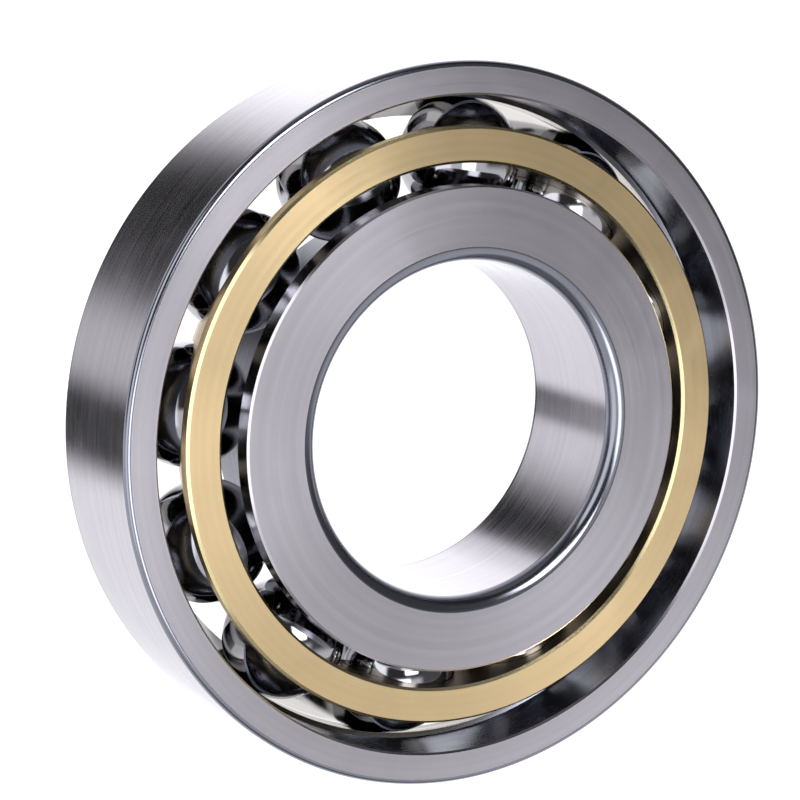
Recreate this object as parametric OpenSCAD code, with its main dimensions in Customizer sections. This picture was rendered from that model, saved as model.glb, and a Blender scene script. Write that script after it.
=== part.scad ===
// Single-row angular contact ball bearing with a one-piece machined brass cage.
// The bearing stands on its rim: its axis lies along Y and its open front looks along -Y.
// The origin is on the axis, midway between the side faces of the outer ring.

/* [Boundary sizes] */
// Bore of the inner ring
bore_d = 100; // [98:0.5:102]
// Outside diameter of the outer ring
outside_d = 215; // [213:0.5:218]
// Width of each ring
ring_w = 47; // [46:0.5:50]
// How far the unloaded inner ring stands out at the front
inner_ring_proud = 3; // [2:0.25:3.5]

/* [Corners] */
// Radius of the bore corner at the front
bore_corner_front = 4.25; // [2:0.25:5]
// Radius of the bore corner at the back
bore_corner_back = 3.5; // [2:0.25:5]
// Radius of the outside corner at the front
rim_corner_front = 1.75; // [1:0.25:3]
// Radius of the outside corner at the back
rim_corner_back = 3.5; // [2:0.25:5]
// Bevel on the small edges of both rings
edge_bevel = 0.6; // [0.3:0.1:0.8]

/* [Balls] */
// Number of balls
ball_count = 12; // [10:1:12]
// Diameter of a ball
ball_d = 36.5125; // [36:0.0125:36.5125]
// Contact angle, from the plane of the balls
contact_angle = 40; // [35:1:42]
// Turn of the first ball about the axis, counted from +X
ball_turn = -8; // [-15:0.5:15]
// Radius of each raceway groove, as a part of the ball's diameter
groove_ratio = 0.52; // [0.515:0.005:0.53]
// Clearance left between a ball and a raceway
running_clearance = 0.05; // [0.03:0.01:0.1]

/* [Ring shoulders] */
// Diameter of the inner ring's high shoulder, at the front
inner_shoulder_d = 144; // [140:0.5:148]
// Diameter of the outer ring's high shoulder, at the back
outer_shoulder_d = 179; // [178:0.5:184]
// Diameter of the counterbore in the outer ring's front
counterbore_d = 195.4; // [195:0.1:197]
// Depth of the counterbore
counterbore_depth = 17; // [15:0.5:18]
// Angle of the small retaining lip behind the counterbore, from the plane of the balls
lip_angle = 27; // [20:1:35]

/* [Cage] */
// Outside diameter of the cage's rim
cage_outside_d = 177.5; // [175:0.5:177.5]
// Inside diameter of the cage
cage_inside_d = 156.2; // [154:0.2:158]
// How far the cage's face lies behind the outer ring's face
cage_recess = 0.7; // [0.5:0.1:1.5]
// Clearance between a ball and its pocket
pocket_clearance = 0.25; // [0.2:0.05:0.4]
// How far the cage's fingers reach past the middle of the balls
finger_reach = 6; // [5:0.5:8]
// Thickness of a finger at its tip
finger_tip = 1; // [0.8:0.1:2]
// Least wall between a pocket and the slant behind the cage's rim
rim_wall = 0.4; // [0.2:0.1:1]
// Bevel on the edges of the cage's rim
cage_bevel = 0.8; // [0.4:0.1:1]

/* [Hidden] */
$fn = 180;
ball_fn = 96;
cut_margin = 1;
half_w = ring_w / 2;
bore_r = bore_d / 2;
outside_r = outside_d / 2;
pitch_r = (bore_r + outside_r) / 2;
ball_r = ball_d / 2;
groove_r = groove_ratio * ball_d;
groove_shift = groove_r - ball_r - running_clearance;
groove_shift_in = groove_shift * cos(contact_angle);
groove_shift_along = groove_shift * sin(contact_angle);
inner_groove_x = pitch_r + groove_shift_in;
inner_groove_y = -groove_shift_along;
outer_groove_x = pitch_r - groove_shift_in;
outer_groove_y = groove_shift_along;
inner_land_r = inner_groove_x - groove_r;
inner_shoulder_r = inner_shoulder_d / 2;
outer_shoulder_r = outer_shoulder_d / 2;
counterbore_r = counterbore_d / 2;
counterbore_y = half_w - counterbore_depth;
lip_cut = 3;
lip_foot_r = counterbore_r - lip_cut;
lip_foot_y = counterbore_y - lip_cut * tan(lip_angle);
cage_face_y = half_w - cage_recess;
cage_outside_r = cage_outside_d / 2;
cage_inside_r = cage_inside_d / 2;
pocket_r = ball_r + pocket_clearance;
ball_step = 360 / ball_count;
steel = [0.74, 0.73, 0.77];
ball_steel = [0.5, 0.5, 0.54];
brass = [0.87, 0.73, 0.5];

function two_digits(n) = n < 10 ? str("0", n) : str(n);
BALL_NODES = [for (i = [1:ball_count]) str("ball_", two_digits(i))];

// Profiles are drawn with the radius along x and the front side upwards.
module turned() {
    rotate([90, 0, 0])
        rotate_extrude()
            children();
}

// What a round corner takes off; side_x and side_y point from the corner into the metal.
module corner_waste(x, y, radius, side_x, side_y) {
    translate([x, y])
        scale([side_x, side_y])
            difference() {
                translate([-cut_margin, -cut_margin])
                    square(radius + cut_margin);
                translate([radius, radius])
                    circle(radius);
            }
}

// What a 45 degree bevel takes off.
module bevel_waste(x, y, size) {
    translate([x, y])
        polygon([[-size, 0], [0, size], [size, 0], [0, -size]]);
}

module outer_ring_profile() {
    difference() {
        translate([outer_shoulder_r, -half_w])
            square([outside_r - outer_shoulder_r, ring_w]);
        translate([outer_groove_x, outer_groove_y])
            circle(groove_r);
        polygon([
            [outer_shoulder_r - cut_margin, half_w + cut_margin],
            [counterbore_r, half_w + cut_margin],
            [counterbore_r, counterbore_y],
            [lip_foot_r, lip_foot_y],
            [outer_shoulder_r - cut_margin, lip_foot_y]
        ]);
        corner_waste(outside_r, half_w, rim_corner_front, -1, -1);
        corner_waste(outside_r, -half_w, rim_corner_back, -1, 1);
        bevel_waste(counterbore_r, half_w, edge_bevel);
        bevel_waste(outer_shoulder_r, -half_w, edge_bevel);
    }
}

module inner_ring_profile() {
    difference() {
        translate([bore_r, -half_w])
            square([inner_shoulder_r - bore_r, ring_w]);
        translate([inner_groove_x, inner_groove_y])
            circle(groove_r);
        translate([inner_land_r, inner_groove_y - ring_w])
            square([inner_shoulder_r, ring_w]);
        corner_waste(bore_r, half_w, bore_corner_front, 1, -1);
        corner_waste(bore_r, -half_w, bore_corner_back, 1, 1);
        bevel_waste(inner_shoulder_r, half_w, edge_bevel);
        bevel_waste(inner_land_r, -half_w, edge_bevel);
    }
}

// A plain rim in front; behind it the outside slants in to the tips of the fingers.
module cage_profile() {
    difference() {
        polygon([
            [cage_inside_r, cage_face_y],
            [cage_outside_r, cage_face_y],
            [cage_outside_r, pocket_r + rim_wall],
            [cage_inside_r + finger_tip, -finger_reach],
            [cage_inside_r, -finger_reach]
        ]);
        bevel_waste(cage_outside_r, cage_face_y, cage_bevel);
        bevel_waste(cage_inside_r, cage_face_y, cage_bevel);
    }
}

module outer_ring() {
    color(steel)
        turned()
            outer_ring_profile();
}

module inner_ring() {
    color(steel)
        translate([0, -inner_ring_proud, 0])
            turned()
                inner_ring_profile();
}

// Round pockets drilled in from the outside leave one finger between each two balls.
module cage() {
    color(brass)
        difference() {
            turned()
                cage_profile();
            for (i = [0:ball_count - 1])
                rotate([0, -ball_turn - i * ball_step, 0])
                    translate([cage_inside_r - 2 * cut_margin - finger_tip, 0, 0])
                        rotate([0, 90, 0])
                            cylinder(h = cage_outside_r, r = pocket_r);
        }
}

module ball(i) {
    color(ball_steel)
        rotate([0, -ball_turn - i * ball_step, 0])
            translate([pitch_r, 0, 0])
                sphere(ball_r, $fn = ball_fn);
}

outer_ring();
inner_ring();
cage();
for (i = [0:ball_count - 1])
    ball(i);
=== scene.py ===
"""Angular contact ball bearing: its rings, cage and balls, turned and finished, on a pale studio floor."""

import math

import bmesh
import bpy
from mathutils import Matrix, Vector


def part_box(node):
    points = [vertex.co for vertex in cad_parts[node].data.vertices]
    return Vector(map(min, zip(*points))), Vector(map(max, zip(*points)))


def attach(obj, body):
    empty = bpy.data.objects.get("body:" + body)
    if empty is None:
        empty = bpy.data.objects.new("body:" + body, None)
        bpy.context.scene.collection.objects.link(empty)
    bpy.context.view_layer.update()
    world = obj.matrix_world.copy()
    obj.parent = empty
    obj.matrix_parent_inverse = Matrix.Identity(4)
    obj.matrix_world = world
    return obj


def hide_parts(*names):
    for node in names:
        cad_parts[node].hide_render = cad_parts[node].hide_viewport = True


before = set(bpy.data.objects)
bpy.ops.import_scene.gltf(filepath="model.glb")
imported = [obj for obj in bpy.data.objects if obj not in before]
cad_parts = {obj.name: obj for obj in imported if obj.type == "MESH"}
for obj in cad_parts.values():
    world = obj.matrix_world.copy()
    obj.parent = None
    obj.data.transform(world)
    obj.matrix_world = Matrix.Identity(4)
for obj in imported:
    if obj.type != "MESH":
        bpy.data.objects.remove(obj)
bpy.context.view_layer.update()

bl_info = {
    "name": "Angular contact bearing",
    "version": (1, 0, 0),
    "blender": (4, 5, 0),
    "location": "3D View > Sidebar > Bearing",
    "description": "Turns, bores and finishes the pieces of an angular contact ball bearing",
    "category": "Object",
}

MM = 0.001
# Points closer than WELD become one, and HAIR is the margin when a face is picked by its place.
WELD = 0.001 * MM
HAIR = 0.01 * MM

BALL_NODES = sorted(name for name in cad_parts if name.startswith("ball_"))


def reach(node):
    """The least and the greatest distance of a CAD node from the bearing's axis."""
    distances = [math.hypot(v.co.x, v.co.z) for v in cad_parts[node].data.vertices]
    return min(distances), max(distances)


def ball_place(node):
    """Centre and radius of a ball, from its CAD node."""
    low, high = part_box(node)
    return (low + high) / 2, (high.y - low.y) / 2


OUTER_LOW, OUTER_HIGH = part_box("outer_ring")
INNER_LOW, INNER_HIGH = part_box("inner_ring")
CAGE_LOW, CAGE_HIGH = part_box("cage")
OUTER_INSIDE, OUTER_OUTSIDE = reach("outer_ring")
INNER_INSIDE, INNER_OUTSIDE = reach("inner_ring")
CAGE_INSIDE, CAGE_OUTSIDE = reach("cage")
BALL_CENTRE, BALL_RADIUS = ball_place(BALL_NODES[0])
PITCH_RADIUS = math.hypot(BALL_CENTRE.x, BALL_CENTRE.z)


# ---------------------------------------------------------------- sizes and colours


def length(name, description, default):
    """A length that the sidebar shows in the scene's own unit."""
    return bpy.props.FloatProperty(
        name=name, description=description, default=default, min=0, unit="LENGTH", precision=5)


def station(name, description, default):
    """A place along the axis, negative in front of the middle."""
    return bpy.props.FloatProperty(
        name=name, description=description, default=default, unit="LENGTH", precision=5)


def share(name, description, default):
    """A number from 0 to 1."""
    return bpy.props.FloatProperty(
        name=name, description=description, default=default, min=0, max=1, subtype="FACTOR")


def colour(name, description, default):
    """A colour without alpha."""
    return bpy.props.FloatVectorProperty(
        name=name, description=description, default=default, size=3, min=0, max=1, subtype="COLOR")


def turn(name, description, degrees):
    """An angle, given here in degrees."""
    return bpy.props.FloatProperty(
        name=name, description=description, default=math.radians(degrees), subtype="ANGLE")


def count(name, description, default):
    """A whole number above 2."""
    return bpy.props.IntProperty(name=name, description=description, default=default, min=3)


class RacewaySizes(bpy.types.PropertyGroup):
    """Where the balls run."""

    ball_radius: length("Ball radius", "Radius of every ball", BALL_RADIUS)
    pitch_radius: length("Pitch radius", "Distance of the balls' centres from the axis", PITCH_RADIUS)
    contact_angle: turn("Contact angle", "Angle of the line through a ball's two contacts", 40)
    groove_ratio: share("Groove ratio", "Groove radius as a part of the ball's diameter", 0.52)
    clearance: length("Clearance", "Gap between a ball and a raceway", 0.05 * MM)
    ball_cuts: count("Ball cuts", "Cuts across each side of the block a ball is made from", 31)


class OuterRingSizes(bpy.types.PropertyGroup):
    """Sizes of the outer ring."""

    outside_radius: length("Outside radius", "Radius of the ground outside", OUTER_OUTSIDE)
    shoulder_radius: length("Shoulder radius", "Inside radius of the high shoulder", OUTER_INSIDE)
    front: station("Front", "Place of the front face along the axis", OUTER_LOW.y)
    back: station("Back", "Place of the back face along the axis", OUTER_HIGH.y)
    counterbore_radius: length("Counterbore radius", "Radius of the open front", 97.7 * MM)
    counterbore_depth: length("Counterbore depth", "Depth of the open front", 17 * MM)
    lip_slope: turn("Lip slope", "Angle of the small lip that keeps the balls in", 27)
    front_corner: length("Front corner", "Radius of the outside corner in front", 1.75 * MM)
    back_corner: length("Back corner", "Radius of the outside corner behind", 3.5 * MM)
    bevel: length("Bevel", "Bevel on the small edges", 0.6 * MM)
    turns: count("Steps round", "Steps of the spin round the axis", 360)


class InnerRingSizes(bpy.types.PropertyGroup):
    """Sizes of the inner ring."""

    bore_radius: length("Bore radius", "Radius of the ground bore", INNER_INSIDE)
    shoulder_radius: length("Shoulder radius", "Radius of the high shoulder", INNER_OUTSIDE)
    front: station("Front", "Place of the front face along the axis", INNER_LOW.y)
    back: station("Back", "Place of the back face along the axis", INNER_HIGH.y)
    front_corner: length("Front corner", "Radius of the bore corner in front", 4.25 * MM)
    back_corner: length("Back corner", "Radius of the bore corner behind", 3.5 * MM)
    bevel: length("Bevel", "Bevel on the small edges", 0.6 * MM)
    turns: count("Steps round", "Steps of the spin round the axis", 360)


class CageSizes(bpy.types.PropertyGroup):
    """Sizes of the brass cage."""

    outside_radius: length("Outside radius", "Radius of the rim", CAGE_OUTSIDE)
    inside_radius: length("Inside radius", "Radius of the opening", CAGE_INSIDE)
    front: station("Front", "Place of the rim's face along the axis", CAGE_LOW.y)
    finger_end: station("Finger end", "Place of the finger tips along the axis", CAGE_HIGH.y)
    finger_tip: length("Finger tip", "Thickness of a finger at its tip", 1 * MM)
    pocket_gap: length("Pocket gap", "Gap between a ball and its pocket", 0.25 * MM)
    rim_wall: length("Rim wall", "Least wall between a pocket and the slant", 0.4 * MM)
    bevel: length("Bevel", "Bevel on the rim's edges", 0.8 * MM)
    pocket_bevel: length("Pocket bevel", "Bevel on the pocket edges", 0.3 * MM)
    turns: count("Steps round", "Steps of the spin round the axis", 240)


class Finishes(bpy.types.PropertyGroup):
    """Colours of the metals and of the floor."""

    ground: colour("Ground steel", "Rings where they are ground", (0.595, 0.57, 0.61))
    # Painted reflection: a dark blue-grey for the round corners, standing in for the dark room they mirror.
    corner: colour("Corner steel", "Round corners of the rings", (0.27, 0.28, 0.32))
    # Painted shade: a dark grey for the counterbore, the recess between the outer ring and the cage rim.
    turned: colour("Turned steel", "Counterbore of the outer ring", (0.22, 0.23, 0.27))
    # Painted reflection: a light cream for the outer raceway, standing in for the lit brass it mirrors.
    honed: colour("Honed steel", "Raceway of the outer ring", (0.74, 0.72, 0.68))
    # Painted shade: a dark grey for the inner ring's shoulder and raceway, deep in the gap under the cage.
    inner_ring_shade: colour("Inner ring shade", "Shoulder and raceway of the inner ring", (0.24, 0.24, 0.27))
    ball: colour("Ball steel", "Balls", (0.46, 0.46, 0.48))
    brass: colour("Brass", "Cage", (0.99, 0.74, 0.41))
    floor: colour("Floor", "Studio floor", (0.45, 0.45, 0.45))


class StudioSizes(bpy.types.PropertyGroup):
    """Where the camera stands, and how big the floor is."""

    camera_turn: turn("Camera turn", "Camera's turn to the left of the open front", 28.97)
    camera_height: turn("Camera height", "Camera's angle above the bearing", 10.45)
    camera_distance: length("Camera distance", "Distance from the camera to its aim", 737.3 * MM)
    aim: bpy.props.FloatVectorProperty(
        name="Aim", description="Point that the camera looks at",
        default=(-6.38 * MM, 4.59 * MM, 5.03 * MM), subtype="TRANSLATION", unit="LENGTH")
    lens: bpy.props.FloatProperty(
        name="Lens", description="Focal length in millimetres", default=110.1, min=1)
    floor_size: length("Floor size", "Width of the floor", 40)
    table_glow: bpy.props.FloatProperty(
        name="Table glow", description="Light that comes up through the light table", default=0.88, min=0)


# ---------------------------------------------------------------- outlines and selections


def deselect_all():
    """Leaves object mode with nothing selected, the CAD nodes included."""
    if bpy.context.object and bpy.context.object.mode != "OBJECT":
        bpy.ops.object.mode_set(mode="OBJECT")
    bpy.ops.object.select_all(action="DESELECT")


def make_active(piece):
    """Selects one piece only."""
    deselect_all()
    piece.select_set(True)
    bpy.context.view_layer.objects.active = piece


def begin_outline(name, radius, along):
    """Starts a section outline at one point, radius along X and the axis along Y. Stays in edit mode."""
    deselect_all()
    bpy.ops.mesh.primitive_plane_add(size=MM, location=(radius, along, 0))
    piece = bpy.context.object
    piece.name = name
    piece.data.name = name
    bpy.ops.object.mode_set(mode="EDIT")
    bpy.ops.mesh.select_all(action="SELECT")
    bpy.ops.mesh.merge(type="CENTER")
    return piece


def line_to(piece, radius, along):
    """Extrudes the outline's last point to a new place."""
    mesh = bmesh.from_edit_mesh(piece.data)
    last = next(v.co for v in mesh.verts if v.select)
    here = piece.matrix_world @ last
    step = (radius - here.x, along - here.y, 0)
    bpy.ops.mesh.extrude_region_move(TRANSFORM_OT_translate={"value": step})


def arc_about(radius, along, degrees, steps):
    """Carries the outline's last point round a centre; a positive angle is clockwise from +Z."""
    bpy.ops.mesh.spin(
        steps=steps, angle=math.radians(degrees), center=(radius, along, 0), axis=(0, 0, 1))


def close_outline():
    """Joins the outline's last point to its first, which lies at the same place."""
    bpy.ops.mesh.select_all(action="SELECT")
    bpy.ops.mesh.remove_doubles(threshold=WELD)


def round_corner(piece, radius, along, size, segments):
    """Rounds one corner of the outline, or bevels it flat with a single segment."""
    mesh = bmesh.from_edit_mesh(piece.data)
    bpy.ops.mesh.select_all(action="DESELECT")
    corner = Vector((radius, along, 0))
    nearest = min(mesh.verts, key=lambda v: (piece.matrix_world @ v.co - corner).length)
    nearest.select = True
    mesh.select_flush(True)
    bmesh.update_edit_mesh(piece.data)
    bpy.ops.mesh.bevel(affect="VERTICES", offset=size, segments=segments, profile=0.5)


def lathe(piece, turns):
    """Spins the closed outline once round the axis and leaves a clean shell with its place in its mesh."""
    bpy.ops.mesh.select_all(action="SELECT")
    bpy.ops.mesh.spin(steps=turns, angle=math.tau, center=(0, 0, 0), axis=(0, 1, 0))
    bpy.ops.mesh.select_all(action="SELECT")
    bpy.ops.mesh.remove_doubles(threshold=WELD)
    bpy.ops.mesh.normals_make_consistent(inside=False)
    bpy.ops.object.mode_set(mode="OBJECT")
    make_active(piece)
    bpy.ops.object.transform_apply(location=True, rotation=True, scale=True)


def smooth(piece, degrees=28):
    """Smooth shading between real edges, with the flats kept flat."""
    make_active(piece)
    bpy.ops.object.shade_smooth_by_angle(angle=math.radians(degrees))
    bpy.ops.object.modifier_add(type="WEIGHTED_NORMAL")
    piece.modifiers[-1].keep_sharp = True
    bpy.ops.object.modifier_apply(modifier=piece.modifiers[-1].name)


def is_flat(normal):
    """True for a face that looks straight along the axis."""
    return abs(normal.y) > 0.999


def is_bevelled(normal):
    """True for a face that looks about halfway between along the axis and away from it."""
    return 0.6 < abs(normal.y) < 0.8


def paint(piece, coats):
    """Gives the piece its finishes. A coat is a material and a test of a face's radius, place along the
    axis and normal; a later coat covers an earlier one."""
    make_active(piece)
    for material, test in coats:
        piece.data.materials.append(material)
    bpy.ops.object.mode_set(mode="EDIT")
    bpy.ops.mesh.select_mode(type="FACE")
    for index, (material, test) in enumerate(coats):
        bpy.ops.mesh.select_all(action="DESELECT")
        mesh = bmesh.from_edit_mesh(piece.data)
        for face in mesh.faces:
            centre = face.calc_center_median()
            face.select = bool(test(math.hypot(centre.x, centre.z), centre.y, face.normal))
        bmesh.update_edit_mesh(piece.data)
        piece.active_material_index = index
        bpy.ops.object.material_slot_assign()
    bpy.ops.mesh.select_mode(type="VERT")
    bpy.ops.object.mode_set(mode="OBJECT")


def seat(piece, body):
    """Fastens a finished piece to its CAD body, in place of the CAD node of the same name."""
    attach(piece, body)
    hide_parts(body)


# ---------------------------------------------------------------- node groups


def add(tree, kind, place, inputs=(), **settings):
    """Adds a node, sets its properties, and fills or links its inputs by name or number."""
    made = tree.nodes.new(kind)
    made.location = place
    for key, value in settings.items():
        setattr(made, key, value)
    for key, value in dict(inputs).items():
        if isinstance(value, bpy.types.NodeSocket):
            tree.links.new(value, made.inputs[key])
        else:
            made.inputs[key].default_value = value
    return made


def maths(tree, place, operation, first, second=0.0, third=0.0):
    """One Math node's output."""
    return add(tree, "ShaderNodeMath", place, {0: first, 1: second, 2: third}, operation=operation).outputs[0]


def group(name, takes, gives):
    """An empty shader node group: takes are (name, default) numbers, gives are names of numbers."""
    tree = bpy.data.node_groups.new(name, "ShaderNodeTree")
    for label, default in takes:
        socket = tree.interface.new_socket(label, in_out="INPUT", socket_type="NodeSocketFloat")
        socket.default_value = default
    for label in gives:
        tree.interface.new_socket(label, in_out="OUTPUT", socket_type="NodeSocketFloat")
    entry = add(tree, "NodeGroupInput", (-1200, 0))
    leave = add(tree, "NodeGroupOutput", (900, 0))
    return tree, entry.outputs, leave.inputs


def make_tool_marks():
    """Fine lines left by a lathe tool or a grinding wheel, running round the axis."""
    tree, take, give = group(
        "tool_marks", (("Lines per mm", 4), ("Drift", 0.8), ("Seed", 0)), ("Lines", "Bands"))
    place = add(tree, "ShaderNodeTexCoord", (-1200, 300)).outputs["Object"]
    split = add(tree, "ShaderNodeSeparateXYZ", (-1000, 300), {0: place}).outputs
    across = add(tree, "ShaderNodeCombineXYZ", (-800, 400), {"X": split["X"], "Z": split["Z"]}).outputs[0]
    radius = add(tree, "ShaderNodeVectorMath", (-600, 400), {0: across}, operation="LENGTH").outputs["Value"]
    around = add(tree, "ShaderNodeVectorMath", (-600, 200), {0: across}, operation="NORMALIZE").outputs[0]
    turned = add(tree, "ShaderNodeSeparateXYZ", (-400, 200), {0: around}).outputs
    density = maths(tree, (-800, 0), "MULTIPLY", take["Lines per mm"], 1 / MM)
    out = maths(tree, (-400, 500), "MULTIPLY", radius, density)
    along = maths(tree, (-400, 350), "MULTIPLY", split["Y"], density)
    sway = maths(tree, (-200, 200), "MULTIPLY", turned["X"], take["Drift"])
    swing = maths(tree, (-200, 50), "MULTIPLY_ADD", turned["Z"], take["Drift"], take["Seed"])
    vector = add(tree, "ShaderNodeCombineXYZ", (0, 400), {"X": out, "Y": along, "Z": sway}).outputs[0]
    lines = add(tree, "ShaderNodeTexNoise", (200, 400),
                {"Vector": vector, "W": swing, "Scale": 1.0, "Detail": 1.5, "Roughness": 0.5},
                noise_dimensions="4D").outputs[0]
    bands = add(tree, "ShaderNodeTexNoise", (200, 100),
                {"Vector": vector, "W": swing, "Scale": 0.16, "Detail": 2.0, "Roughness": 0.5},
                noise_dimensions="4D").outputs[0]
    tree.links.new(lines, give["Lines"])
    tree.links.new(bands, give["Bands"])
    return tree


def make_handling():
    """Light handling marks: an oily haze in soft patches, and a few hair scratches."""
    tree, take, give = group(
        "handling", (("Patch size mm", 18), ("Scratch size mm", 5)), ("Haze", "Scratches"))
    place = add(tree, "ShaderNodeTexCoord", (-1200, 300)).outputs["Object"]
    patch_scale = maths(tree, (-1000, 200), "DIVIDE", 1 / MM, take["Patch size mm"])
    haze = add(tree, "ShaderNodeTexNoise", (-600, 300),
               {"Vector": place, "Scale": patch_scale, "Detail": 5.0, "Roughness": 0.55, "Distortion": 0.4})
    soft = add(tree, "ShaderNodeMapRange", (-300, 300),
               {"Value": haze.outputs[0], "From Min": 0.38, "From Max": 0.72},
               interpolation_type="SMOOTHSTEP")
    scratch_scale = maths(tree, (-1000, 0), "DIVIDE", 1 / MM, take["Scratch size mm"])
    bend = add(tree, "ShaderNodeTexNoise", (-800, -100),
               {"Vector": place, "Scale": patch_scale, "Detail": 2.0})
    bent = add(tree, "ShaderNodeMix", (-600, -100),
               {"Factor": 0.012, 6: place, 7: bend.outputs["Color"]}, data_type="RGBA").outputs[2]
    cells = add(tree, "ShaderNodeTexVoronoi", (-400, -100),
                {"Vector": bent, "Scale": scratch_scale}, feature="DISTANCE_TO_EDGE")
    line = add(tree, "ShaderNodeMapRange", (-200, -100),
               {"Value": cells.outputs["Distance"], "From Min": 0.012, "From Max": 0.0},
               interpolation_type="SMOOTHSTEP").outputs[0]
    few = add(tree, "ShaderNodeTexNoise", (-400, -400),
              {"Vector": place, "Scale": scratch_scale, "Detail": 1.0})
    some = add(tree, "ShaderNodeMapRange", (-200, -400),
               {"Value": few.outputs[0], "From Min": 0.64, "From Max": 0.72}).outputs[0]
    kept = maths(tree, (0, -200), "MULTIPLY", line, some)
    tree.links.new(soft.outputs[0], give["Haze"])
    tree.links.new(kept, give["Scratches"])
    return tree


def shared(name, maker):
    """A node group that is built once."""
    return bpy.data.node_groups.get(name) or maker()


# ---------------------------------------------------------------- metals

# An anisotropic rotation of a quarter turn smears a highlight across the tool marks.
QUARTER_TURN = 0.25
# How far the tool marks wander on their way round the axis.
DRIFT = 0.8
# How dark an oily film leaves the metal, and how much of it shows where the film is thickest.
FILM_SHADE = 0.72
FILM_COVER = 0.35
# How much tool marks, film and scratches change the roughness.
LINE_DULLNESS = 0.12
FILM_DULLNESS = 0.12
SCRATCH_DULLNESS = 0.08
# Depth of a scratch in millimetres, and how many grains there are to a millimetre.
SCRATCH_DEPTH = 0.006
GRAINS = 2.2


def mixed(tree, place, amount, first, second):
    """A colour mixed from two."""
    blend = add(tree, "ShaderNodeMix", place, {"Factor": amount, 6: first, 7: second}, data_type="RGBA")
    return blend.outputs[2]


def toned(rgb, gain):
    """A colour made lighter or darker."""
    return [min(1.0, channel * gain) for channel in rgb]


def opaque(rgb, gain=1.0):
    """A colour with alpha, made lighter or darker by gain."""
    return (*toned(rgb, gain), 1.0)


def metal(name, rgb, dull, lines, line_depth, spread, haze, streak, grain=0.0):
    """A machined metal. rgb is its colour and dull its roughness; lines (per mm) and line_depth (mm) are
    its tool marks; spread is how far they smear a highlight; haze is how much oily film there is on it;
    streak is how much its colour changes from ring to ring; grain (mm) is a fine all-over roughness."""
    material = bpy.data.materials.new(name)
    material.use_nodes = True
    tree = material.node_tree
    tree.nodes.clear()
    marks = add(tree, "ShaderNodeGroup", (-900, 200), node_tree=shared("tool_marks", make_tool_marks))
    marks.inputs["Lines per mm"].default_value = lines
    marks.inputs["Drift"].default_value = DRIFT
    touched = add(tree, "ShaderNodeGroup", (-900, -200), node_tree=shared("handling", make_handling))
    streaks = add(tree, "ShaderNodeMapRange", (-600, 400),
                  {"Value": marks.outputs["Bands"], "From Min": 0.35, "From Max": 0.65}).outputs[0]
    base = mixed(tree, (-300, 400), streaks, opaque(rgb, 1 - streak), opaque(rgb, 1 + streak))
    hazed = maths(tree, (-600, -200), "MULTIPLY", touched.outputs["Haze"], haze)
    dimmed = maths(tree, (-300, 100), "MULTIPLY", hazed, FILM_COVER)
    film = mixed(tree, (-100, 300), dimmed, base, opaque(rgb, FILM_SHADE))
    rough_lines = maths(
        tree, (-600, 0), "MULTIPLY_ADD", marks.outputs["Lines"], LINE_DULLNESS, dull - LINE_DULLNESS / 2)
    rough_haze = maths(tree, (-300, -100), "MULTIPLY_ADD", hazed, FILM_DULLNESS, rough_lines)
    rough = maths(
        tree, (-100, -100), "MULTIPLY_ADD", touched.outputs["Scratches"], SCRATCH_DULLNESS, rough_haze)
    cut = add(tree, "ShaderNodeBump", (-100, -350),
              {"Height": marks.outputs["Lines"], "Strength": 1.0, "Distance": line_depth * MM})
    normal = cut.outputs[0]
    if grain:
        place = add(tree, "ShaderNodeTexCoord", (-600, -600)).outputs["Object"]
        fine = add(tree, "ShaderNodeTexNoise", (-300, -600),
                   {"Vector": place, "Scale": GRAINS / MM, "Detail": 2.0})
        rubbed = add(tree, "ShaderNodeBump", (100, -450),
                     {"Height": fine.outputs[0], "Strength": 1.0, "Distance": grain * MM, "Normal": normal})
        normal = rubbed.outputs[0]
    nick = add(tree, "ShaderNodeBump", (300, -350),
               {"Height": touched.outputs["Scratches"], "Strength": 0.5, "Distance": SCRATCH_DEPTH * MM,
                "Normal": normal}, invert=True)
    shader = add(tree, "ShaderNodeBsdfPrincipled", (500, 200),
                 {"Base Color": film, "Metallic": 1.0, "Roughness": rough, "Normal": nick.outputs[0]})
    if spread:
        shader.inputs["Anisotropic"].default_value = spread
        shader.inputs["Anisotropic Rotation"].default_value = QUARTER_TURN
        around = add(tree, "ShaderNodeTangent", (300, -100), direction_type="RADIAL", axis="Y")
        tree.links.new(around.outputs[0], shader.inputs["Tangent"])
    add(tree, "ShaderNodeOutputMaterial", (800, 200), {"Surface": shader.outputs[0]})
    return material


def ground_steel(finishes):
    """Cylinders ground between centres: close lines round the axis under a soft shine."""
    return metal(
        "ground_steel", finishes.ground,
        dull=0.17, lines=2.5, line_depth=0.001, spread=0.7, haze=0.2, streak=0.04)


def face_steel(finishes):
    """Side faces ground flat: a satin grey."""
    return metal(
        "face_ground_steel", finishes.ground,
        dull=0.33, lines=2.4, line_depth=0.004, spread=0.6, haze=0.4, streak=0.06)


def corner_dark_reflection_steel(finishes):
    """Round corners, polished with a strip after turning, in a dark blue-grey that is a painted reflection of
    the dark room in front.
    """
    return metal(
        "corner_dark_reflection_steel", finishes.corner,
        dull=0.15, lines=3.0, line_depth=0.002, spread=0.3, haze=0.3, streak=0.06)


def counterbore_shade_steel(finishes):
    """The counterbore as the lathe left it, coloured dark: painted shade in the recess behind the cage rim.
    """
    return metal(
        "counterbore_shade_steel", finishes.turned,
        dull=0.24, lines=2.4, line_depth=0.003, spread=0.4, haze=0.4, streak=0.12)


def painted_shade_steel(finishes):
    """The inner ring's shoulder and raceway, coloured dark grey: painted shade in the gap under the cage."""
    return metal(
        "painted_shade_steel", finishes.inner_ring_shade,
        dull=0.2, lines=3.0, line_depth=0.001, spread=0.3, haze=0.4, streak=0.12)


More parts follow.
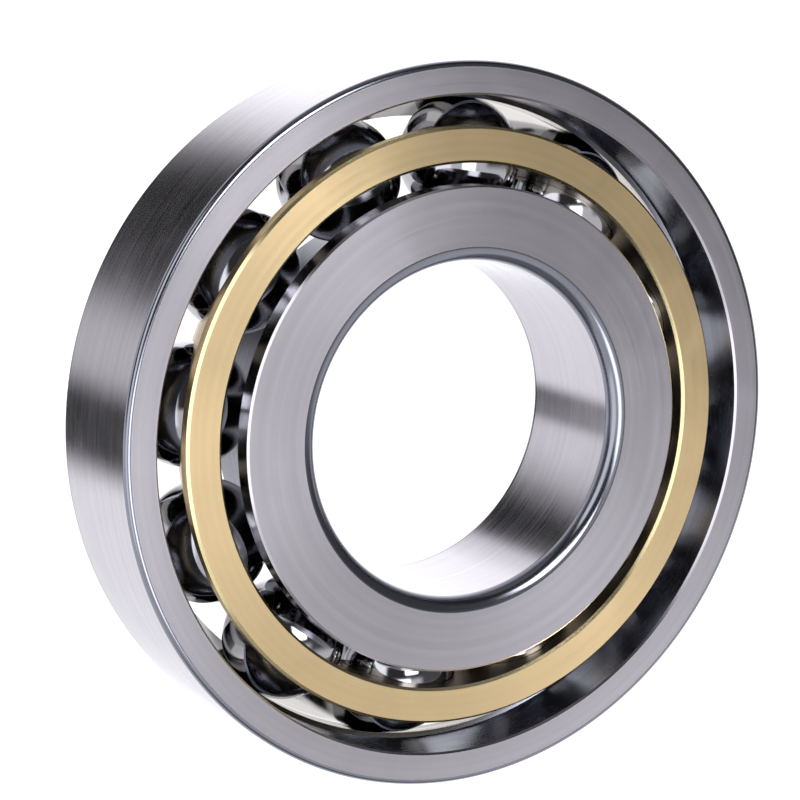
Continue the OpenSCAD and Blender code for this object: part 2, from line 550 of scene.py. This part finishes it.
def edge_steel(finishes):
    """Small bevels, made lighter: partly rubbed bright by wear, partly a painted highlight."""
    return metal(
        "bevelled_steel", toned(finishes.ground, 1.15),
        dull=0.2, lines=3.0, line_depth=0.001, spread=0.2, haze=0.1, streak=0.12)


def raceway_steel(finishes):
    """The outer ring's raceway, honed almost to a mirror, in a light cream that is a painted reflection of
    the lit brass cage inside the bearing.
    """
    return metal(
        "honed_steel", finishes.honed,
        dull=0.08, lines=7.0, line_depth=0.0002, spread=0.3, haze=0.15, streak=0.03)


def ball_steel(finishes):
    """Lapped balls: a mirror with the thinnest film of oil."""
    return metal(
        "lapped_steel", finishes.ball,
        dull=0.07, lines=1.0, line_depth=0.0, spread=0.0, haze=0.2, streak=0.0)


def turned_brass(finishes):
    """The cage's turned rim, satin with fine rings."""
    return metal(
        "turned_brass", finishes.brass,
        dull=0.3, lines=2.4, line_depth=0.004, spread=0.7, haze=0.4, streak=0.05)


def bored_brass(finishes):
    """Pocket walls and fingers, bored and left a little rougher."""
    return metal(
        "bored_brass", toned(finishes.brass, 0.8),
        dull=0.3, lines=1.4, line_depth=0.002, spread=0.0, haze=0.6, streak=0.12, grain=0.002)


def painted_shade_brass(finishes):
    """The cage's inside, coloured a dark brass: painted shade where the inner ring's shoulder faces it."""
    return metal(
        "painted_shade_brass", toned(finishes.brass, 0.22),
        dull=0.3, lines=2.0, line_depth=0.002, spread=0.3, haze=0.6, streak=0.12, grain=0.001)


def edge_brass(finishes):
    """The rim's bevels, made lighter: partly rubbed bright by wear, partly a painted highlight."""
    return metal(
        "bevelled_brass", toned(finishes.brass, 1.15),
        dull=0.22, lines=2.6, line_depth=0.001, spread=0.2, haze=0.1, streak=0.03)


def finish(name, maker, finishes):
    """A material that is made once."""
    return bpy.data.materials.get(name) or maker(finishes)


# ---------------------------------------------------------------- pieces


def groove(sizes):
    """Groove radius, and the shift of its centre outwards and along the axis."""
    radius = 2 * sizes.ball_radius * sizes.groove_ratio
    shift = radius - sizes.ball_radius - sizes.clearance
    return radius, shift * math.cos(sizes.contact_angle), shift * math.sin(sizes.contact_angle)


class BEARING_OT_outer_ring(bpy.types.Operator):
    """Turn the outer ring: high shoulder behind, open counterbore in front"""

    bl_idname = "bearing.outer_ring"
    bl_label = "Outer ring"

    def execute(self, context):
        sizes = context.scene.bearing_outer_ring
        races = context.scene.bearing_raceways
        radius, out, along = groove(races)
        centre = (races.pitch_radius - out, -along)
        counterbore_end = sizes.front + sizes.counterbore_depth
        slope = math.tan(sizes.lip_slope)
        # The lip slants inwards and back from the counterbore's end until it meets the groove.
        gap = Vector((sizes.counterbore_radius - centre[0], counterbore_end - centre[1]))
        slant = Vector((-1, slope))
        half = gap.dot(slant) / slant.length_squared
        run = -half - math.sqrt(half * half - (gap.length_squared - radius * radius) / slant.length_squared)
        lip = (sizes.counterbore_radius - run, counterbore_end + run * slope)
        shoulder_start = centre[1] + math.sqrt(radius ** 2 - (sizes.shoulder_radius - centre[0]) ** 2)
        lip_angle = math.atan2(lip[1] - centre[1], lip[0] - centre[0])
        shoulder_angle = math.atan2(shoulder_start - centre[1], sizes.shoulder_radius - centre[0])

        ring = begin_outline("turned_outer_ring", sizes.outside_radius, sizes.front)
        line_to(ring, sizes.counterbore_radius, sizes.front)
        line_to(ring, sizes.counterbore_radius, counterbore_end)
        line_to(ring, *lip)
        arc_about(*centre, math.degrees(lip_angle - shoulder_angle), steps=44)
        line_to(ring, sizes.shoulder_radius, sizes.back)
        line_to(ring, sizes.outside_radius, sizes.back)
        line_to(ring, sizes.outside_radius, sizes.front)
        close_outline()
        round_corner(ring, sizes.outside_radius, sizes.front, sizes.front_corner, segments=8)
        round_corner(ring, sizes.outside_radius, sizes.back, sizes.back_corner, segments=10)
        round_corner(ring, sizes.counterbore_radius, sizes.front, sizes.bevel, segments=1)
        round_corner(ring, sizes.shoulder_radius, sizes.back, sizes.bevel, segments=1)
        lathe(ring, sizes.turns)
        smooth(ring)

        finishes = context.scene.bearing_finishes
        rim = sizes.outside_radius
        paint(ring, (
            (finish("ground_steel", ground_steel, finishes), lambda r, y, n: True),
            (finish("face_ground_steel", face_steel, finishes), lambda r, y, n: is_flat(n)),
            # Painted reflection: the round corners take the dark blue-grey.
            (finish("corner_dark_reflection_steel", corner_dark_reflection_steel, finishes), lambda r, y, n: (
                not is_flat(n) and (
                    (rim - sizes.front_corner < r < rim - HAIR and y < sizes.front + sizes.front_corner)
                    or (rim - sizes.back_corner < r < rim - HAIR and y > sizes.back - sizes.back_corner)))),
            # Painted shade: the counterbore and lip take the dark grey.
            (finish("counterbore_shade_steel", counterbore_shade_steel, finishes), lambda r, y, n: (
                not is_flat(n) and r < sizes.counterbore_radius + HAIR and y < lip[1] + HAIR)),
            # Painted reflection: the outer raceway takes the light cream.
            (finish("honed_steel", raceway_steel, finishes), lambda r, y, n: (
                lip[1] < y < shoulder_start and r < rim - sizes.back_corner)),
            # Partly wear, partly painted highlight: the small bevels take a lighter steel.
            (finish("bevelled_steel", edge_steel, finishes), lambda r, y, n: (
                is_bevelled(n) and r < rim - sizes.back_corner
                and (y < sizes.front + sizes.bevel or y > sizes.back - sizes.bevel))),
        ))
        seat(ring, "outer_ring")
        return {"FINISHED"}


class BEARING_OT_inner_ring(bpy.types.Operator):
    """Turn the inner ring: high shoulder in front, open land behind"""

    bl_idname = "bearing.inner_ring"
    bl_label = "Inner ring"

    def execute(self, context):
        sizes = context.scene.bearing_inner_ring
        races = context.scene.bearing_raceways
        outer = context.scene.bearing_outer_ring
        radius, out, along = groove(races)
        proud = outer.front - sizes.front
        centre = (races.pitch_radius + out, along - proud)
        land = centre[0] - radius
        shoulder_end = centre[1] - math.sqrt(radius ** 2 - (sizes.shoulder_radius - centre[0]) ** 2)
        sweep = math.atan2(centre[1] - shoulder_end, centre[0] - sizes.shoulder_radius)

        ring = begin_outline("turned_inner_ring", sizes.bore_radius, sizes.front)
        line_to(ring, sizes.shoulder_radius, sizes.front)
        line_to(ring, sizes.shoulder_radius, shoulder_end)
        arc_about(*centre, math.degrees(sweep), steps=36)
        line_to(ring, land, sizes.back)
        line_to(ring, sizes.bore_radius, sizes.back)
        line_to(ring, sizes.bore_radius, sizes.front)
        close_outline()
        round_corner(ring, sizes.bore_radius, sizes.front, sizes.front_corner, segments=10)
        round_corner(ring, sizes.bore_radius, sizes.back, sizes.back_corner, segments=10)
        round_corner(ring, sizes.shoulder_radius, sizes.front, sizes.bevel, segments=1)
        round_corner(ring, land, sizes.back, sizes.bevel, segments=1)
        lathe(ring, sizes.turns)
        smooth(ring)

        finishes = context.scene.bearing_finishes
        paint(ring, (
            (finish("ground_steel", ground_steel, finishes), lambda r, y, n: True),
            (finish("face_ground_steel", face_steel, finishes), lambda r, y, n: is_flat(n)),
            # Painted reflection: the round corners take the dark blue-grey.
            (finish("corner_dark_reflection_steel", corner_dark_reflection_steel, finishes), lambda r, y, n: (
                not is_flat(n) and r > sizes.bore_radius + HAIR and (
                    (r < sizes.bore_radius + sizes.front_corner and y < sizes.front + sizes.front_corner)
                    or (r < sizes.bore_radius + sizes.back_corner and y > sizes.back - sizes.back_corner)))),
            # Painted shade: the shoulder and raceway in the gap under the cage take the dark grey.
            (finish("painted_shade_steel", painted_shade_steel, finishes), lambda r, y, n: (
                not is_flat(n) and r > land - HAIR)),
            (finish("bevelled_steel", edge_steel, finishes), lambda r, y, n: (
                is_bevelled(n) and r > land - sizes.bevel
                and (y < sizes.front + sizes.bevel or y > sizes.back - sizes.bevel))),
        ))
        seat(ring, "inner_ring")
        return {"FINISHED"}


class BEARING_OT_cage(bpy.types.Operator):
    """Turn the brass cage and bore a pocket for each ball"""

    bl_idname = "bearing.cage"
    bl_label = "Cage"

    def execute(self, context):
        sizes = context.scene.bearing_cage
        races = context.scene.bearing_raceways
        pocket = races.ball_radius + sizes.pocket_gap
        rim_back = -(pocket + sizes.rim_wall)

        cage = begin_outline("turned_cage", sizes.inside_radius, sizes.front)
        line_to(cage, sizes.outside_radius, sizes.front)
        line_to(cage, sizes.outside_radius, rim_back)
        line_to(cage, sizes.inside_radius + sizes.finger_tip, sizes.finger_end)
        line_to(cage, sizes.inside_radius, sizes.finger_end)
        line_to(cage, sizes.inside_radius, sizes.front)
        close_outline()
        round_corner(cage, sizes.outside_radius, sizes.front, sizes.bevel, segments=1)
        round_corner(cage, sizes.inside_radius, sizes.front, sizes.bevel, segments=1)
        lathe(cage, sizes.turns)

        drills = []
        for node in BALL_NODES:
            deselect_all()
            outwards = ball_place(node)[0].normalized()
            bpy.ops.mesh.primitive_cylinder_add(
                vertices=128, radius=pocket, depth=sizes.outside_radius / 3,
                location=outwards * sizes.outside_radius,
                rotation=outwards.to_track_quat("Z", "Y").to_euler())
            drills.append(bpy.context.object)
        for drill in drills:
            drill.select_set(True)
        bpy.ops.object.join()
        drill = bpy.context.object
        make_active(cage)
        bore = cage.modifiers.new("pockets", "BOOLEAN")
        bore.object = drill
        bore.solver = "EXACT"
        bpy.ops.object.modifier_apply(modifier=bore.name)
        bpy.data.objects.remove(drill)
        self.ease_pockets(cage, pocket, sizes.pocket_bevel)
        smooth(cage)

        finishes = context.scene.bearing_finishes
        paint(cage, (
            (finish("turned_brass", turned_brass, finishes), lambda r, y, n: True),
            (finish("bored_brass", bored_brass, finishes), lambda r, y, n: y > rim_back + HAIR),
            # Painted shade: the cage's inside cylinder takes the dark brass.
            (finish("painted_shade_brass", painted_shade_brass, finishes), lambda r, y, n: (
                r < sizes.inside_radius + HAIR and abs(n.y) < 0.1)),
            # Partly wear, partly painted highlight: the rim's bevels take a lighter brass.
            (finish("bevelled_brass", edge_brass, finishes), lambda r, y, n: (
                is_bevelled(n) and y < sizes.front + sizes.bevel)),
        ))
        seat(cage, "cage")
        return {"FINISHED"}

    def ease_pockets(self, cage, pocket, size):
        """Bevels the edges where the pockets break out of the cage."""
        ways = [ball_place(node)[0].normalized() for node in BALL_NODES]

        def on_wall(point):
            return any(abs((point - way * point.dot(way)).length - pocket) < 0.05 * MM
                       and point.dot(way) > 0 for way in ways)

        make_active(cage)
        bpy.ops.object.mode_set(mode="EDIT")
        bpy.ops.mesh.select_mode(type="EDGE")
        bpy.ops.mesh.select_all(action="DESELECT")
        mesh = bmesh.from_edit_mesh(cage.data)
        for edge in mesh.edges:
            if len(edge.link_faces) == 2 and edge.calc_face_angle() > math.radians(30):
                edge.select = all(on_wall(v.co) for v in edge.verts)
        bmesh.update_edit_mesh(cage.data)
        bpy.ops.mesh.bevel(offset=size, segments=2, affect="EDGES", clamp_overlap=True)
        bpy.ops.mesh.select_mode(type="VERT")
        bpy.ops.object.mode_set(mode="OBJECT")


class BEARING_OT_balls(bpy.types.Operator):
    """Make one ball from a block and copy it into every pocket"""

    bl_idname = "bearing.balls"
    bl_label = "Balls"

    def execute(self, context):
        races = context.scene.bearing_raceways
        deselect_all()
        bpy.ops.mesh.primitive_cube_add(size=2 * races.ball_radius, location=(0, 0, 0))
        first = bpy.context.object
        bpy.ops.object.mode_set(mode="EDIT")
        bpy.ops.mesh.select_all(action="SELECT")
        bpy.ops.mesh.subdivide(number_cuts=races.ball_cuts)
        bpy.ops.object.mode_set(mode="OBJECT")
        swell = first.modifiers.new("ball", "CAST")
        swell.cast_type = "SPHERE"
        swell.factor = 1
        swell.use_radius_as_size = False
        swell.size = races.ball_radius
        bpy.ops.object.modifier_apply(modifier=swell.name)
        bpy.ops.object.shade_smooth()
        first.data.materials.append(finish("lapped_steel", ball_steel, context.scene.bearing_finishes))

        for node in BALL_NODES:
            make_active(first)
            bpy.ops.object.duplicate(linked=False)
            ball = bpy.context.object
            ball.name = "lapped_" + node
            ball.data.name = ball.name
            centre = ball_place(node)[0]
            ball.location = centre
            ball.rotation_euler = (0, -math.atan2(centre.z, centre.x), 0)
            bpy.ops.object.transform_apply(location=True, rotation=True, scale=True)
            seat(ball, node)
        bpy.data.objects.remove(first)
        return {"FINISHED"}


# ---------------------------------------------------------------- studio

# Soft panels and dark gaps round the bearing: where each one's middle stands (azimuth from behind the
# bearing, positive to the right, and elevation), its half width and half height, how soft its edge is,
# all in degrees, and how bright it is. Each is laid over those before it.
PANELS = (
    ("white sweep behind", 0, 30, 70, 40, 12, 1.05),
    ("table", 0, -60, 181, 54, 6, 1.15),
    ("table in front", 180, -26, 80, 20, 12, 0.9),
    ("ceiling", 0, 90, 181, 18, 14, 0.25),
    ("wall behind", -12, 8, 13, 14, 10, 0.62),
    ("far edge of the table", -25, -8, 9, 3, 6, 0.0),
    ("dark card behind", -14, 26, 9, 12, 9, 0.0),
    ("right window", 28, 8, 10, 26, 14, 1.6),
    ("right wall", 64, 5, 12, 30, 12, 1.0),
    ("left window", -120, 8, 12, 34, 8, 1.8),
    ("shade below in front", 180, -74, 90, 14, 12, 0.3),
    ("dim side in front", 130, 12, 18, 20, 14, 0.12),
    ("lamp in front", 174, 23, 10, 12, 5, 7.0),
    ("low lamp in front", -170, -16, 9, 13, 6, 4.5),
)
# Light from where no panel is, the tint of the tent, and the plain white that the camera sees.
ROOM_GLOW = 0.05
TENT = (0.965, 0.965, 1)
WHITE = (1, 1, 1)


def make_panel_mask():
    """1 inside a soft rectangle of directions and 0 outside it, all in degrees."""
    tree, take, give = group(
        "panel_mask",
        (("Azimuth", 0), ("Elevation", 0), ("Half width", 20), ("Half height", 20), ("Soft", 5)), ("Mask",))
    way = add(tree, "ShaderNodeTexCoord", (-1200, 400)).outputs["Generated"]
    split = add(tree, "ShaderNodeSeparateXYZ", (-1000, 400), {0: way}).outputs
    azimuth = maths(tree, (-800, 500), "DEGREES", maths(tree, (-900, 500), "ARCTAN2", split["X"], split["Y"]))
    elevation = maths(tree, (-800, 300), "DEGREES", maths(tree, (-900, 300), "ARCSINE", split["Z"]))
    off = maths(tree, (-600, 500), "SUBTRACT", azimuth, take["Azimuth"])
    aside = maths(tree, (-400, 500), "ABSOLUTE", maths(tree, (-500, 500), "WRAP", off, 180.0, -180.0))
    over = maths(tree, (-500, 300), "SUBTRACT", elevation, take["Elevation"])
    above = maths(tree, (-400, 300), "ABSOLUTE", over)
    masks = []
    for row, (distance, half) in enumerate(((aside, take["Half width"]), (above, take["Half height"]))):
        rim = maths(tree, (-200, 500 - 250 * row), "ADD", half, take["Soft"])
        masks.append(add(tree, "ShaderNodeMapRange", (100, 500 - 250 * row),
                         {"Value": distance, "From Min": rim, "From Max": half},
                         interpolation_type="SMOOTHSTEP").outputs[0])
    tree.links.new(maths(tree, (400, 400), "MULTIPLY", *masks), give["Mask"])
    return tree


class BEARING_OT_studio(bpy.types.Operator):
    """Lay the floor, hang the soft light and set up the camera"""

    bl_idname = "bearing.studio"
    bl_label = "Studio"

    def execute(self, context):
        self.lay_floor(context)
        self.hang_light(context)
        self.place_camera(context)
        context.scene.view_settings.view_transform = "Standard"
        return {"FINISHED"}

    def lay_floor(self, context):
        """A pale light table that the bearing stands on."""
        deselect_all()
        size = context.scene.bearing_studio.floor_size
        bpy.ops.mesh.primitive_plane_add(size=size, location=(0, 0, OUTER_LOW.z))
        floor = bpy.context.object
        floor.name = "studio_floor"
        paper = bpy.data.materials.new("studio_paper")
        paper.use_nodes = True
        shader = paper.node_tree.nodes["Principled BSDF"]
        shader.inputs["Base Color"].default_value = opaque(context.scene.bearing_finishes.floor)
        shader.inputs["Roughness"].default_value = 0.9
        shader.inputs["Specular IOR Level"].default_value = 0.1
        shader.inputs["Emission Color"].default_value = opaque(WHITE)
        shader.inputs["Emission Strength"].default_value = context.scene.bearing_studio.table_glow
        floor.data.materials.append(paper)
        floor.visible_glossy = False

    def hang_light(self, context):
        """A white tent with panels and gaps for the metal to mirror; the camera itself sees plain white."""
        world = bpy.data.worlds.new("light_tent")
        world.use_nodes = True
        context.scene.world = world
        tree = world.node_tree
        tree.nodes.clear()
        mask_group = shared("panel_mask", make_panel_mask)
        light = ROOM_GLOW
        for column, (name, azimuth, elevation, width, height, soft, bright) in enumerate(PANELS):
            spot = (-400 + 250 * column, 300)
            mask = add(tree, "ShaderNodeGroup", spot, node_tree=mask_group, label=name)
            for socket, value in zip(mask.inputs, (azimuth, elevation, width, height, soft)):
                socket.default_value = value
            blend = add(tree, "ShaderNodeMix", (spot[0] + 120, 0),
                        {"Factor": mask.outputs[0], 2: light, 3: bright}, data_type="FLOAT", label=name)
            light = blend.outputs[0]
        end = -400 + 250 * len(PANELS)
        tent = add(tree, "ShaderNodeBackground", (end, 100), {"Color": opaque(TENT), "Strength": light})
        plain = add(tree, "ShaderNodeBackground", (end, -100), {"Color": opaque(WHITE), "Strength": 1.0})
        seen = add(tree, "ShaderNodeLightPath", (end, 500)).outputs["Is Camera Ray"]
        both = add(tree, "ShaderNodeMixShader", (end + 250, 0),
                   {0: seen, 1: tent.outputs[0], 2: plain.outputs[0]})
        add(tree, "ShaderNodeOutputWorld", (end + 500, 0), {"Surface": both.outputs[0]})

    def place_camera(self, context):
        """The camera, to the left of the open front and a little above it."""
        studio = context.scene.bearing_studio
        side, up = studio.camera_turn, studio.camera_height
        back = Vector((-math.sin(side) * math.cos(up), -math.cos(side) * math.cos(up), math.sin(up)))
        place = Vector(studio.aim) + back * studio.camera_distance
        deselect_all()
        bpy.ops.object.camera_add(location=place, rotation=back.to_track_quat("Z", "Y").to_euler())
        camera = bpy.context.object
        camera.data.lens = studio.lens
        context.scene.camera = camera


class BEARING_PT_sidebar(bpy.types.Panel):
    """The bearing's pieces and sizes, in the order they are made"""

    bl_idname = "BEARING_PT_sidebar"
    bl_label = "Angular contact bearing"
    bl_space_type = "VIEW_3D"
    bl_region_type = "UI"
    bl_category = "Bearing"

    def draw(self, context):
        for label, group_name, operators in STEPS:
            box = self.layout.box()
            box.label(text=label)
            sizes = getattr(context.scene, group_name)
            for key in type(sizes).__annotations__:
                box.prop(sizes, key)
            for name in operators:
                box.operator("bearing." + name)


# Each step's label, its sizes, and its operators.
STEPS = (
    ("Raceways and balls", "bearing_raceways", ("balls",)),
    ("Outer ring", "bearing_outer_ring", ("outer_ring",)),
    ("Inner ring", "bearing_inner_ring", ("inner_ring",)),
    ("Cage", "bearing_cage", ("cage",)),
    ("Finishes", "bearing_finishes", ()),
    ("Studio", "bearing_studio", ("studio",)),
)

SIZES = {
    "bearing_raceways": RacewaySizes,
    "bearing_outer_ring": OuterRingSizes,
    "bearing_inner_ring": InnerRingSizes,
    "bearing_cage": CageSizes,
    "bearing_finishes": Finishes,
    "bearing_studio": StudioSizes,
}

CLASSES = (
    BEARING_OT_outer_ring,
    BEARING_OT_inner_ring,
    BEARING_OT_cage,
    BEARING_OT_balls,
    BEARING_OT_studio,
    BEARING_PT_sidebar,
)


def register():
    """Adds the sizes, the operators and the sidebar panel to Blender."""
    for name, sizes in SIZES.items():
        bpy.utils.register_class(sizes)
        setattr(bpy.types.Scene, name, bpy.props.PointerProperty(type=sizes))
    for made in CLASSES:
        bpy.utils.register_class(made)


def unregister():
    """Takes them out again."""
    for made in reversed(CLASSES):
        bpy.utils.unregister_class(made)
    for name, sizes in reversed(SIZES.items()):
        delattr(bpy.types.Scene, name)
        bpy.utils.unregister_class(sizes)


def main():
    """Makes every piece, then the studio."""
    register()
    for _, _, operators in STEPS:
        for name in operators:
            getattr(bpy.ops.bearing, name)()


if __name__ == "__main__":
    main()
